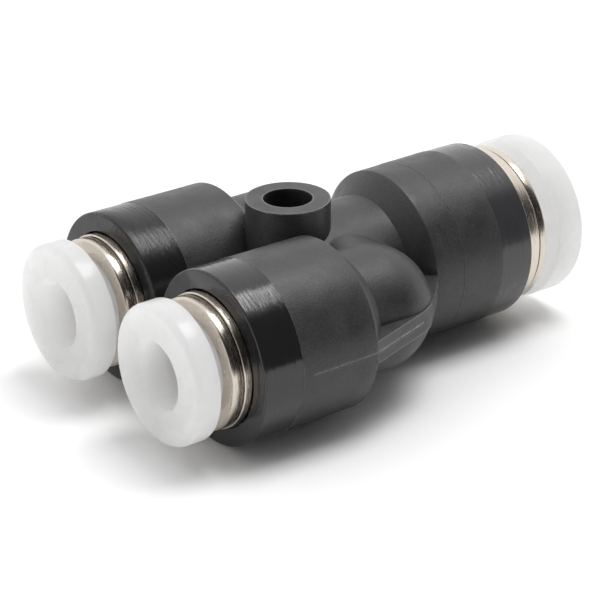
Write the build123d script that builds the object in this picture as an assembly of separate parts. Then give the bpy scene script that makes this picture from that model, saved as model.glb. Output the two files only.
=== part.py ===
from build123d import *
import os
from dataclasses import dataclass
from math import cos, radians, sin, tan

# Y reducer push-in fitting: two ports for a small tube side by side, one for a larger tube
# opposite them. Millimetres, +Z up. The origin is on the axis of the mounting hole, in the
# plane of the three port axes. +X points to the large port, the small ports open to -X.

# Tubes that the ports take
SMALL_TUBE_D = 4.0
LARGE_TUBE_D = 6.0

# Places on the body
SMALL_FACE_X = -9.85            # end faces of the small barrels
LARGE_FACE_X = 15.34            # end face of the large barrel
PORT_PITCH = 11.0               # between the axes of the small ports
KNUCKLE_X = 2.0                 # centres of the round knuckles behind the small barrels

# Small barrels
SMALL_BARREL_D = 11.0
SMALL_BARREL_LENGTH = 8.30
SMALL_BAND_LENGTH = 2.80        # glossy band at the mouth
NECK_D = 8.0                    # neck and knuckle behind each small barrel
SHOULDER_ANGLE = 45.0           # of the small barrels' rear cones

# Large barrel
LARGE_BARREL_D = 11.7
LARGE_BARREL_LENGTH = 7.92
LARGE_BAND_LENGTH = 2.52        # glossy band at the mouth
LARGE_STEP_LENGTH = 5.72        # from the mouth to the fine step in the matt surface
LARGE_SHOULDER_LENGTH = 1.24    # cone between the stem and the large barrel

# Moulding details of the body
DRAFT = 0.35                    # degrees, on the barrels
PARTING_STEP = 0.02             # between surfaces made by two mould inserts
MOUTH_ROUND = 0.15
REAR_ROUND = 0.12
STEM_D = 9.0
CROSS_TUBE_D = 7.5
STEM_OVERRUN = 0.6              # stem behind the cross tube
CROSS_TUBE_X = 2.2
INSIDE_FILLET = 0.5             # where the cross tube meets the stem
WEB_THICKNESS = 1.5
WEB_PROUD = 0.05                # web's edge outside the knuckles
BARREL_RIB_BITE = 0.3           # rib between the small barrels, depth into each of them
BARREL_RIB_HEIGHT = 2.0
BARREL_FLAT = 0.1               # small barrels end this far from the middle plane

# Mounting boss
BOSS_D = 5.35
BOSS_HOLE_D = 3.1
BOSS_TOP_Z = 6.04

# Air passages in the body
SMALL_PASSAGE_D = 2.7
BRANCH_PASSAGE_D = 2.6
LARGE_PASSAGE_D = 4.4
BRANCH_TURN_X = 1.6             # where a small passage turns towards the stem
BRANCH_MEET_X = 5.4             # where the two branches meet on the stem's axis
LARGE_PASSAGE_END_X = 3.2
SOCKET_DEPTH = 2.05             # from the seal to the shoulder that stops the tube
SOCKET_CHAMFER = 0.3

# Release rings
SMALL_FLANGE_D = 8.80
SMALL_FLANGE_THICKNESS = 1.63
SMALL_FLANGE_ROUND = 0.47
SMALL_TRAVEL = 0.95
SMALL_RING_WALL = 0.89
LARGE_FLANGE_D = 10.72
LARGE_FLANGE_THICKNESS = 2.24
LARGE_FLANGE_ROUND = 0.37
LARGE_TRAVEL = 0.90
LARGE_RING_WALL = 0.93
RING_ENTRY_ROUND = 0.36
RING_BACK_ROUND = 0.12
BEAD_HEIGHT = 0.26              # snap bead that keeps a ring in its sleeve
BEAD_LAND = 0.25
BEAD_RAMP = 0.30
NOSE_WALL = 0.25                # of the ring at the end that opens the claw
NOSE_GAP = 0.20                 # between the nose and the teeth at rest
RING_SLOTS = 4
RING_SLOT_WIDTH = 0.6
RING_SLOT_TOP = 0.9             # slots start this far below the body's face

# Guide sleeves
SMALL_SLEEVE_FRONT_D = 8.24
SMALL_SLEEVE_PROUD = 1.30
SMALL_GROOVE_HEIGHT = 0.52
SMALL_COLLAR_D = 8.44
SMALL_SLEEVE_DEPTH = 4.2
LARGE_SLEEVE_FRONT_D = 10.54
LARGE_SLEEVE_PROUD = 1.78
LARGE_GROOVE_HEIGHT = 1.06
LARGE_COLLAR_D = 10.70
LARGE_SLEEVE_DEPTH = 4.4
SLEEVE_FRONT_ROUND = 0.18
SLEEVE_INNER_CHAMFER = 0.10
COLLAR_CHAMFER = 0.08
COLLAR_DEPTH = 0.95             # part of the collar that stands in the body's mouth
GROOVE_WIDTH = 0.12
GROOVE_DEPTH = 0.08
GUIDE_DEPTH = 1.9               # where the guide bore opens into the sleeve's chamber
BARBS = 3
BARB_HEIGHT = 0.10
BARB_LENGTH = 0.5
BARB_PITCH = 0.8

# Claws, back rings and seals
SMALL_CAVITY_D = 8.0            # bore of the body round the sleeve, back ring and seal
LARGE_CAVITY_D = 9.9
CLAW_THICKNESS = 0.20
CLAW_ANGLE = 30.0               # degrees, slope of the teeth
CLAW_BITE = 0.10                # teeth reach this far inside the tube's surface
SMALL_TEETH = 8
LARGE_TEETH = 10
TOOTH_GAP = 0.45
BACK_RING_LAND = 0.43
SEAL_LENGTH = 1.7
SEAL_SQUEEZE = 0.07
SEAL_WALL = 0.6
SEAL_GROOVE = 0.7

# Clearances, all radial unless they say otherwise
TUBE_CLEARANCE = 0.05           # tube in release ring and socket
SLIDE_CLEARANCE = 0.07          # release ring in guide sleeve
SEAT_CLEARANCE = 0.02           # pressed-in pieces in the body's bore
COLLAR_GAP = 0.11               # visible gap round the sleeve's collar
STOP_CLEARANCE = 0.05           # axial, at both ends of the ring's travel
CHAMBER_ROOM = 0.25             # snap bead in the sleeve's chamber
NOSE_ROOM = 0.15                # pressed ring in the back ring's cone
THROAT_ROOM = 0.10              # tube bore to the back ring's throat


@dataclass
class Port:
    """Sizes of one port. Heights run along its axis from the body's face, outwards positive."""

    name: str
    plane: Plane
    tube_d: float
    cavity_d: float
    collar_d: float
    sleeve_front_d: float
    sleeve_proud: float
    groove_height: float
    sleeve_depth: float
    flange_d: float
    flange_thickness: float
    flange_round: float
    travel: float
    ring_wall: float
    teeth: int
    passage_d: float
    passage_end: float

    def __post_init__(self):
        self.bore_r = self.tube_d / 2 + TUBE_CLEARANCE
        self.ring_r = self.bore_r + self.ring_wall
        self.guide_r = self.ring_r + SLIDE_CLEARANCE
        self.bead_r = self.ring_r + BEAD_HEIGHT
        self.chamber_r = self.bead_r + CHAMBER_ROOM
        self.nose_r = self.bore_r + NOSE_WALL
        self.cavity_r = self.cavity_d / 2
        self.fill_r = self.cavity_r - SEAT_CLEARANCE
        self.claw_tip_r = self.tube_d / 2 - CLAW_BITE
        self.claw_drop = (self.bead_r - self.claw_tip_r) * tan(radians(CLAW_ANGLE))
        self.flange_back = self.sleeve_proud + self.travel + STOP_CLEARANCE
        self.flange_front = self.flange_back + self.flange_thickness
        self.bead_top = -GUIDE_DEPTH - STOP_CLEARANCE
        self.claw_top = -self.sleeve_depth
        self.claw_back = self.claw_top - CLAW_THICKNESS
        tooth_fall = (self.bead_r - self.nose_r) * tan(radians(CLAW_ANGLE))
        self.nose_end = self.claw_top - tooth_fall + NOSE_GAP
        self.nose_pressed = self.nose_end - self.travel
        self.back_ring_end = self.nose_pressed - BACK_RING_LAND
        self.seal_end = self.back_ring_end - SEAL_LENGTH
        self.tube_stop = self.seal_end - SOCKET_DEPTH


def turned(points):
    """Closed outline of (radius, height) points, turned about Z."""
    outline = Plane.XZ * make_face(Polyline(*points, close=True))
    return revolve(outline, Axis.Z)


def rim(solid, radius, height):
    """Circular edges of a turned solid at a radius and a height."""
    circles = solid.edges().filter_by(GeomType.CIRCLE)
    return circles.filter_by(
        lambda edge: abs(edge.radius - radius) < 1e-4 and abs(edge.arc_center.Z - height) < 1e-4
    )


def drafted(radius, length):
    """Radius of a drafted surface after a length along its axis."""
    return radius - length * tan(radians(DRAFT))


def small_arm():
    """Small barrel, cone, neck and round knuckle, turned about the port's own axis."""
    face_r = SMALL_BARREL_D / 2
    band_r = drafted(face_r, SMALL_BAND_LENGTH)
    matt_r = band_r + PARTING_STEP
    rear_r = drafted(matt_r, SMALL_BARREL_LENGTH - SMALL_BAND_LENGTH)
    neck_r = NECK_D / 2
    cone_end = SMALL_BARREL_LENGTH + (rear_r - neck_r) * tan(radians(SHOULDER_ANGLE))
    knuckle = KNUCKLE_X - SMALL_FACE_X
    with BuildPart() as arm:
        with BuildSketch(Plane.XZ):
            with BuildLine():
                Polyline(
                    (0, -knuckle - neck_r),
                    (0, 0),
                    (face_r, 0),
                    (band_r, -SMALL_BAND_LENGTH),
                    (matt_r, -SMALL_BAND_LENGTH),
                    (rear_r, -SMALL_BARREL_LENGTH),
                    (neck_r, -cone_end),
                    (neck_r, -knuckle),
                )
                CenterArc((0, -knuckle), neck_r, 0, -90)
            make_face()
        revolve(axis=Axis.Z)
        fillet(rim(arm, face_r, 0), MOUTH_ROUND)
        fillet(rim(arm, rear_r, -SMALL_BARREL_LENGTH), REAR_ROUND)
    return arm.part


def large_barrel():
    """Large barrel and the cone that leads to the stem, turned about the port's own axis."""
    matt_r = LARGE_BARREL_D / 2
    band_r = matt_r - PARTING_STEP
    face_r = drafted(band_r, LARGE_BAND_LENGTH)
    step_r = drafted(matt_r, LARGE_STEP_LENGTH - LARGE_BAND_LENGTH)
    front_r = drafted(step_r - PARTING_STEP, LARGE_BARREL_LENGTH - LARGE_STEP_LENGTH)
    cone_end = LARGE_BARREL_LENGTH + LARGE_SHOULDER_LENGTH
    barrel = turned([
        (0, 0),
        (face_r, 0),
        (band_r, -LARGE_BAND_LENGTH),
        (matt_r, -LARGE_BAND_LENGTH),
        (step_r, -LARGE_STEP_LENGTH),
        (step_r - PARTING_STEP, -LARGE_STEP_LENGTH),
        (front_r, -LARGE_BARREL_LENGTH),
        (STEM_D / 2, -cone_end),
        (0, -cone_end),
    ])
    barrel = fillet(rim(barrel, face_r, 0), MOUTH_ROUND)
    return fillet(rim(barrel, front_r, -LARGE_BARREL_LENGTH), REAR_ROUND)


def stem():
    """Stem on the large port's axis and the cross tube between the knuckles, as one form."""
    back_x = CROSS_TUBE_X - CROSS_TUBE_D / 2 - STEM_OVERRUN
    length = LARGE_FACE_X - LARGE_BARREL_LENGTH - LARGE_SHOULDER_LENGTH - back_x
    tube = Pos(CROSS_TUBE_X, 0, 0) * Rot(90, 0, 0) * Rot(0, 0, 90) * Cylinder(CROSS_TUBE_D / 2, PORT_PITCH)
    core = Pos(back_x + length / 2, 0, 0) * Rot(0, 90, 0) * Cylinder(STEM_D / 2, length) + tube
    return fillet(core.edges().filter_by(GeomType.BSPLINE), INSIDE_FILLET)


def webs():
    """Flat plate round the knuckles, tangent from the small barrels and from the large one."""
    rear_x = SMALL_FACE_X + SMALL_BARREL_LENGTH
    rear_y = PORT_PITCH / 2 + drafted(SMALL_BARREL_D / 2, SMALL_BARREL_LENGTH)
    front_x = LARGE_FACE_X - LARGE_BARREL_LENGTH
    front_y = drafted(LARGE_BARREL_D / 2, LARGE_BARREL_LENGTH - LARGE_BAND_LENGTH)
    edges = [Line((rear_x, -rear_y), (rear_x, rear_y)), Line((front_x, -front_y), (front_x, front_y))]
    for side in (-1, 1):
        edges.append(CenterArc((KNUCKLE_X, side * PORT_PITCH / 2), NECK_D / 2 + WEB_PROUD, 0, 360))
    return extrude(make_hull(edges), WEB_THICKNESS / 2, both=True)


def barrel_rib():
    """Rib between the two small barrels, where they would only touch along a line."""
    length = SMALL_BARREL_LENGTH - 2 * MOUTH_ROUND
    width = max(PORT_PITCH - SMALL_BARREL_D, 0) + 2 * BARREL_RIB_BITE
    middle_x = SMALL_FACE_X + SMALL_BARREL_LENGTH / 2
    return Pos(middle_x, 0, 0) * Box(length, width, BARREL_RIB_HEIGHT)


def boss():
    """Upright boss, from the underside of the small barrels to its own flat top."""
    bottom_z = -SMALL_BARREL_D / 2
    height = BOSS_TOP_Z - bottom_z
    return Pos(0, 0, bottom_z + height / 2) * Cylinder(BOSS_D / 2, height)


def port_cavity(port):
    """Mouth, cavity, tube socket and straight passage of one port, turned about its axis."""
    mouth_r = port.collar_d / 2 + COLLAR_GAP
    cavity = turned([
        (0, port.flange_front),
        (mouth_r, port.flange_front),
        (mouth_r, -COLLAR_DEPTH),
        (port.cavity_r, -COLLAR_DEPTH),
        (port.cavity_r, port.seal_end),
        (port.bore_r + SOCKET_CHAMFER, port.seal_end),
        (port.bore_r, port.seal_end - SOCKET_CHAMFER),
        (port.bore_r, port.tube_stop),
        (port.passage_d / 2, port.tube_stop),
        (port.passage_d / 2, port.passage_end),
        (0, port.passage_end),
    ])
    return port.plane * cavity


def branch_passage(side):
    """Slanting passage from the end of a small port's passage to the stem's axis."""
    start = Vector(BRANCH_TURN_X, side * PORT_PITCH / 2, 0)
    end = Vector(BRANCH_MEET_X, 0, 0)
    along = Plane(origin=start, z_dir=end - start)
    length = (end - start).length
    radius = BRANCH_PASSAGE_D / 2
    passage = along * Pos(0, 0, length / 2) * Cylinder(radius, length)
    return passage + Pos(*start) * Sphere(radius) + Pos(*end) * Sphere(radius)


def body(ports):
    """The one-piece moulding that carries everything else."""
    left, right, large = ports
    solid = stem() + large.plane * large_barrel() + webs() + boss() + barrel_rib()
    middle = Pos(SMALL_FACE_X, 0, 0) * Box(4 * SMALL_BARREL_LENGTH, 2 * BARREL_FLAT, 2 * SMALL_BARREL_D)
    for port in (left, right):
        solid += port.plane * small_arm() - middle
    for port in ports:
        solid -= port_cavity(port)
    for side in (-1, 1):
        solid -= branch_passage(side)
    solid -= Cylinder(BOSS_HOLE_D / 2, 4 * BOSS_TOP_Z)
    return solid


def release_ring(port):
    """Push ring: flange, guided neck, snap bead and split nose that opens the claw."""
    ramp_end = port.bead_top - BEAD_LAND - BEAD_RAMP
    ring = turned([
        (port.bore_r, port.flange_front),
        (port.flange_d / 2, port.flange_front),
        (port.flange_d / 2, port.flange_back),
        (port.ring_r, port.flange_back),
        (port.ring_r, port.bead_top),
        (port.bead_r, port.bead_top),
        (port.bead_r, port.bead_top - BEAD_LAND),
        (port.ring_r, ramp_end),
        (port.nose_r, port.nose_end),
        (port.bore_r, port.nose_end),
    ])
    ring = fillet(rim(ring, port.flange_d / 2, port.flange_front), port.flange_round)
    ring = fillet(rim(ring, port.bore_r, port.flange_front), RING_ENTRY_ROUND)
    ring = fillet(rim(ring, port.flange_d / 2, port.flange_back), RING_BACK_ROUND)
    depth = -port.nose_end - RING_SLOT_TOP
    slot = Pos(port.bead_r / 2, 0, port.nose_end + depth / 2) * Box(port.bead_r, RING_SLOT_WIDTH, depth)
    for index in range(RING_SLOTS):
        ring -= Rot(0, 0, index * 360 / RING_SLOTS) * slot
    return port.plane * ring


def guide_sleeve(port):
    """Sleeve pressed into the body: front band, groove, collar, barbs and inner chamber."""
    front_r = port.sleeve_front_d / 2
    collar_r = port.collar_d / 2
    groove_r = front_r - GROOVE_DEPTH
    groove_top = port.groove_height + GROOVE_WIDTH
    shank_r = port.fill_r - BARB_HEIGHT
    outline = [
        (port.guide_r + SLEEVE_INNER_CHAMFER, port.sleeve_proud),
        (front_r, port.sleeve_proud),
        (front_r, groove_top),
        (groove_r, groove_top),
        (groove_r, port.groove_height),
        (collar_r - COLLAR_CHAMFER, port.groove_height),
        (collar_r, port.groove_height - COLLAR_CHAMFER),
        (collar_r, -COLLAR_DEPTH),
        (shank_r, -COLLAR_DEPTH),
    ]
    for index in range(BARBS):
        barb_top = -COLLAR_DEPTH - BARB_LENGTH - index * BARB_PITCH
        outline += [
            (shank_r, barb_top),
            (port.fill_r, barb_top),
            (shank_r, barb_top - BARB_LENGTH),
        ]
    outline += [
        (shank_r, port.claw_top),
        (port.chamber_r, port.claw_top),
        (port.chamber_r, -GUIDE_DEPTH),
        (port.guide_r, -GUIDE_DEPTH),
        (port.guide_r, port.sleeve_proud - SLEEVE_INNER_CHAMFER),
    ]
    sleeve = turned(outline)
    return port.plane * fillet(rim(sleeve, front_r, port.sleeve_proud), SLEEVE_FRONT_ROUND)


def lock_claw(port):
    """Thin ring clamped behind the sleeve; its teeth slope inwards, their ends cut square."""
    slope = radians(CLAW_ANGLE)
    tip = port.claw_top - port.claw_drop
    cut = CLAW_THICKNESS * cos(slope)
    claw = turned([
        (port.fill_r, port.claw_top),
        (port.fill_r, port.claw_back),
        (port.bead_r, port.claw_back),
        (port.claw_tip_r + cut * sin(slope), tip - cut * cos(slope)),
        (port.claw_tip_r, tip),
        (port.bead_r, port.claw_top),
    ])
    depth = port.claw_drop + 2 * CLAW_THICKNESS
    gap = Pos(port.bead_r / 2, 0, port.claw_top - depth / 2) * Box(port.bead_r, TOOTH_GAP, 2 * depth)
    for index in range(port.teeth):
        claw -= Rot(0, 0, index * 360 / port.teeth) * gap
    return port.plane * claw


def back_ring(port):
    """Ring behind the claw, with a cone that leaves room for the teeth to bend back."""
    throat_r = port.bore_r + THROAT_ROOM
    ring = turned([
        (port.fill_r, port.claw_back),
        (port.fill_r, port.back_ring_end),
        (throat_r, port.back_ring_end),
        (throat_r, port.nose_pressed - BACK_RING_LAND / 2),
        (port.nose_r + NOSE_ROOM, port.nose_pressed),
        (port.bead_r, port.claw_back),
    ])
    return port.plane * ring


def seal(port):
    """Lip seal: outer wall against the body, inner lip against the tube, groove between."""
    lip_r = port.tube_d / 2 - SEAL_SQUEEZE
    top = port.back_ring_end
    bottom = port.seal_end
    groove_r = (port.fill_r - SEAL_WALL + lip_r + SEAL_WALL) / 2
    outline = [
        (port.bore_r + THROAT_ROOM, top),
        (port.fill_r, top),
        (port.fill_r, bottom),
        (port.fill_r - SEAL_WALL, bottom),
        (groove_r, bottom + SEAL_GROOVE),
        (lip_r + SEAL_WALL / 2, bottom),
        (lip_r, bottom + SEAL_WALL / 2),
    ]
    return port.plane * turned(outline)


def small_port(name, side):
    """Port for the small tube, on one side of the mounting hole."""
    face = Plane(origin=(SMALL_FACE_X, side * PORT_PITCH / 2, 0), x_dir=(0, -side, 0), z_dir=(-1, 0, 0))
    return Port(
        name=name,
        plane=face,
        tube_d=SMALL_TUBE_D,
        cavity_d=SMALL_CAVITY_D,
        collar_d=SMALL_COLLAR_D,
        sleeve_front_d=SMALL_SLEEVE_FRONT_D,
        sleeve_proud=SMALL_SLEEVE_PROUD,
        groove_height=SMALL_GROOVE_HEIGHT,
        sleeve_depth=SMALL_SLEEVE_DEPTH,
        flange_d=SMALL_FLANGE_D,
        flange_thickness=SMALL_FLANGE_THICKNESS,
        flange_round=SMALL_FLANGE_ROUND,
        travel=SMALL_TRAVEL,
        ring_wall=SMALL_RING_WALL,
        teeth=SMALL_TEETH,
        passage_d=SMALL_PASSAGE_D,
        passage_end=SMALL_FACE_X - BRANCH_TURN_X,
    )


def large_port(name):
    """Port for the large tube, opposite the small ones."""
    face = Plane(origin=(LARGE_FACE_X, 0, 0), x_dir=(0, 1, 0), z_dir=(1, 0, 0))
    return Port(
        name=name,
        plane=face,
        tube_d=LARGE_TUBE_D,
        cavity_d=LARGE_CAVITY_D,
        collar_d=LARGE_COLLAR_D,
        sleeve_front_d=LARGE_SLEEVE_FRONT_D,
        sleeve_proud=LARGE_SLEEVE_PROUD,
        groove_height=LARGE_GROOVE_HEIGHT,
        sleeve_depth=LARGE_SLEEVE_DEPTH,
        flange_d=LARGE_FLANGE_D,
        flange_thickness=LARGE_FLANGE_THICKNESS,
        flange_round=LARGE_FLANGE_ROUND,
        travel=LARGE_TRAVEL,
        ring_wall=LARGE_RING_WALL,
        teeth=LARGE_TEETH,
        passage_d=LARGE_PASSAGE_D,
        passage_end=LARGE_PASSAGE_END_X - LARGE_FACE_X,
    )


def main():
    """Build every piece and write one STEP file for each."""
    ports = [small_port("left", 1), small_port("right", -1), large_port("large")]
    pieces = {"body": body(ports)}
    for port in ports:
        pieces[port.name + "_release_ring"] = release_ring(port)
        pieces[port.name + "_guide_sleeve"] = guide_sleeve(port)
        pieces[port.name + "_lock_claw"] = lock_claw(port)
        pieces[port.name + "_back_ring"] = back_ring(port)
        pieces[port.name + "_seal"] = seal(port)
    os.makedirs("parts", exist_ok=True)
    for name, shape in pieces.items():
        export_step(shape, "parts/" + name + ".step")


main()
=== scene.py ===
import random
from math import cos, hypot, pi, radians, sin, tan

import bmesh
import bpy
from bpy.props import FloatProperty, FloatVectorProperty, IntProperty, PointerProperty
from mathutils import Matrix, Vector


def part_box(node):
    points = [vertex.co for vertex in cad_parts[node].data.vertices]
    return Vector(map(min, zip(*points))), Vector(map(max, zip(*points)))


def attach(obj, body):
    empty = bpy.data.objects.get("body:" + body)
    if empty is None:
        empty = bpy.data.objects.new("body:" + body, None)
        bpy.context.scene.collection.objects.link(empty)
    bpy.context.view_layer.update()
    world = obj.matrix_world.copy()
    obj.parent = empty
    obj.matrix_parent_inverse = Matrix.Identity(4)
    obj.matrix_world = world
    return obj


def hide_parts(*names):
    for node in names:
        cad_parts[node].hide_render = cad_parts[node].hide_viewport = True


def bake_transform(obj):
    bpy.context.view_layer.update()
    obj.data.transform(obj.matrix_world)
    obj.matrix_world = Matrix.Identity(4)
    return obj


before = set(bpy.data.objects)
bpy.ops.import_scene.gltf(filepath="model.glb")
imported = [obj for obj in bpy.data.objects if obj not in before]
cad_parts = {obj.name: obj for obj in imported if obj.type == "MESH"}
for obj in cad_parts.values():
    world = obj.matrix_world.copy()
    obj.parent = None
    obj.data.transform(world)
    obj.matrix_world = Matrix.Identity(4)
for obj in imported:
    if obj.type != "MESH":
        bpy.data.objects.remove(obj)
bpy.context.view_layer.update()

bl_info = {
    "name": "Y reducer push-in fitting",
    "version": (1, 0, 0),
    "blender": (4, 5, 0),
    "location": "View3D > Sidebar > Fitting",
    "description": "Builds a Y fitting for air tube, with moulded body, push rings and plated sleeves",
    "category": "Add Mesh",
}

MM = 0.001

# Turned pieces are spun in this many steps.
SPIN_STEPS = 144
# Segments of a rounded rim: the usual number, then for the rims that show most, and for the small ones
RIM_SEGMENTS = 6
FLANGE_SEGMENTS = 10
ENTRY_SEGMENTS = 8
COLLAR_SEGMENTS = 4
FINE_SEGMENTS = 3
CORNER_SEGMENTS = 2
# Corners closer than this are one corner, and a rim's corners lie this near to its circle.
SAME_PLACE = 1e-7
ON_RIM = 1e-6
SHARP_ANGLE = radians(32)

# End faces of the body, where the small ports and the large one open
SMALL_FACE_X, LARGE_FACE_X = (corner.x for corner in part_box("body"))


def linear(hex_colour):
    """Linear RGB of an sRGB hex colour such as #26272a."""
    channels = [int(hex_colour[place:place + 2], 16) / 255 for place in (1, 3, 5)]
    return tuple(c / 12.92 if c <= 0.04045 else ((c + 0.055) / 1.055) ** 2.4 for c in channels)


def length(name, description, millimetres):
    """A length in metres that a user can change."""
    return FloatProperty(
        name=name, description=description, default=millimetres * MM, precision=6, unit="LENGTH"
    )


def colour(name, description, hex_colour):
    """A colour that a user can change."""
    return FloatVectorProperty(
        name=name, description=description, default=linear(hex_colour), min=0, max=1, subtype="COLOR"
    )


# Property, name, description, then millimetres for the small ports and for the large one
PORT_SIZES = (
    ("bore_radius", "Bore radius", "Inside of the push ring, round the tube", 2.05, 3.05),
    ("neck_radius", "Neck radius", "Outside of the push ring's neck", 2.94, 3.98),
    ("bead_radius", "Bead radius", "Snap bead that keeps the push ring in its sleeve", 3.20, 4.24),
    ("nose_radius", "Nose radius", "Thin end of the push ring, which opens the claw", 2.30, 3.30),
    ("flange_radius", "Flange radius", "Outside of the push ring's flange", 4.40, 5.36),
    ("flange_thickness", "Flange thickness", "Thickness of the push ring's flange", 1.63, 2.24),
    ("flange_round", "Flange round", "Rounding of the flange's front rim", 0.47, 0.37),
    ("guide_radius", "Guide radius", "Bore of the sleeve that guides the push ring", 3.01, 4.05),
    ("chamber_radius", "Chamber radius", "Wide bore behind the guide", 3.45, 4.49),
    ("front_radius", "Sleeve front radius", "Bright band behind the push ring", 4.12, 5.27),
    ("collar_radius", "Collar radius", "Collar of the sleeve in the body's mouth", 4.22, 5.35),
    ("groove_height", "Groove height", "Groove above the body's face", 0.52, 1.06),
    ("seat_radius", "Seat radius", "Pressed-in pieces in the body's bore", 3.98, 4.93),
    ("tooth_radius", "Tooth radius", "Circle that the claw's teeth reach", 1.90, 2.90),
    ("lip_radius", "Lip radius", "Bore of the seal's lip", 1.93, 2.93),
    ("band_length", "Band length", "Glossy band of the body at the port's mouth", 2.80, 2.52),
)


def port_properties(column):
    """The port sizes, with the defaults from one column of the table."""
    return {row[0]: length(row[1], row[2], row[column]) for row in PORT_SIZES}


class SmallPortSizes(bpy.types.PropertyGroup):
    """Sizes of the two ports for the small tube"""
    __annotations__ = port_properties(3)


class LargePortSizes(bpy.types.PropertyGroup):
    """Sizes of the port for the large tube"""
    __annotations__ = port_properties(4)


class FittingSizes(bpy.types.PropertyGroup):
    """Sizes that all the ports share"""
    port_pitch: length("Port pitch", "Between the axes of the small ports", 11.0)
    entry_round: length("Entry round", "Rounding where the tube enters a push ring", 0.36)
    slot_width: length("Slot width", "Slots that make the push ring's nose springy", 0.6)
    slot_top: length("Slot top", "Depth of the slots' ends below the body's face", 0.9)
    groove_width: length("Groove width", "Groove in the sleeve", 0.12)
    groove_depth: length("Groove depth", "Groove in the sleeve", 0.08)
    collar_depth: length("Collar depth", "Part of the collar in the body's mouth", 0.95)
    guide_depth: length("Guide depth", "Where the sleeve's guide bore widens", 1.9)
    barb_height: length("Barb height", "Barbs that hold the sleeve in the body", 0.1)
    barb_pitch: length("Barb pitch", "From one barb to the next", 0.8)
    claw_thickness: length("Claw thickness", "Sheet that the claw is pressed from", 0.2)
    tooth_gap: length("Tooth gap", "Between the claw's teeth", 0.45)
    tooth_bend: length("Tooth bend", "Slope of the teeth over which they bend in, along the axis", 0.43)
    flash_height: length("Flash height", "Thin ridge where the halves of the mould met", 0.036)
    claw_angle: FloatProperty(
        name="Claw angle", description="Slope of the claw's teeth", default=radians(30),
        subtype="ANGLE", unit="ROTATION",
    )
    small_teeth: IntProperty(
        name="Small claw teeth", description="Teeth of a small claw", default=8, min=3,
    )
    large_teeth: IntProperty(
        name="Large claw teeth", description="Teeth of the large claw", default=10, min=3,
    )
    seed: IntProperty(
        name="Flash seed", description="Seed of the flash ridge's unevenness", default=4,
    )


class FittingColours(bpy.types.PropertyGroup):
    """Colours of the materials"""
    nylon: colour("Nylon", "Black glass-filled nylon of the body", "#202021")
    # Greyer than the other nylons: a painted lift for the brighter reflections on the large port's band.
    nylon_satin: colour("Satin nylon", "The same nylon at the large port's mouth", "#38383a")
    nylon_matt: colour("Matt nylon", "The same nylon where the mould was spark-eroded", "#2d2d2e")
    # Grey of the flash: paler partly as torn flash is, partly as a painted highlight; it also paints the
    # parting step's ledge as a light line.
    flash: colour("Flash", "Torn edge of the flash at the parting line", "#8c8c8d")
    acetal: colour("White acetal", "Push rings", "#f9f9f9")
    nickel: colour("Nickel", "Bright nickel plate on the brass sleeves", "#cfc5b9")
    steel: colour("Spring steel", "Stainless strip of the claws", "#b9b6b1")
    natural_acetal: colour("Natural acetal", "Back rings", "#d9d6cc")
    rubber: colour("Nitrile rubber", "Seals", "#1c1c1d")
    paper: colour("Floor", "White sheet under the fitting", "#ffffff")


# ---------------------------------------------------------------- materials

# Noise stays mostly between these two values.
NOISE = {"From Min": 0.3, "From Max": 0.7}


def add_node(tree, kind, inputs=None, **settings):
    """Adds a node, with its settings, and values or links for its inputs."""
    node = tree.nodes.new(kind)
    for name, value in settings.items():
        setattr(node, name, value)
    for name, value in (inputs or {}).items():
        if isinstance(value, bpy.types.NodeSocket):
            tree.links.new(value, node.inputs[name])
        else:
            node.inputs[name].default_value = value
    return node


def new_material(name):
    """An empty node material, with its output."""
    material = bpy.data.materials.new(name)
    material.use_nodes = True
    tree = material.node_tree
    tree.nodes.clear()
    return material, tree, tree.nodes.new("ShaderNodeOutputMaterial")


def rgba(values):
    """RGBA of a linear RGB colour."""
    return (*values, 1)


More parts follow.
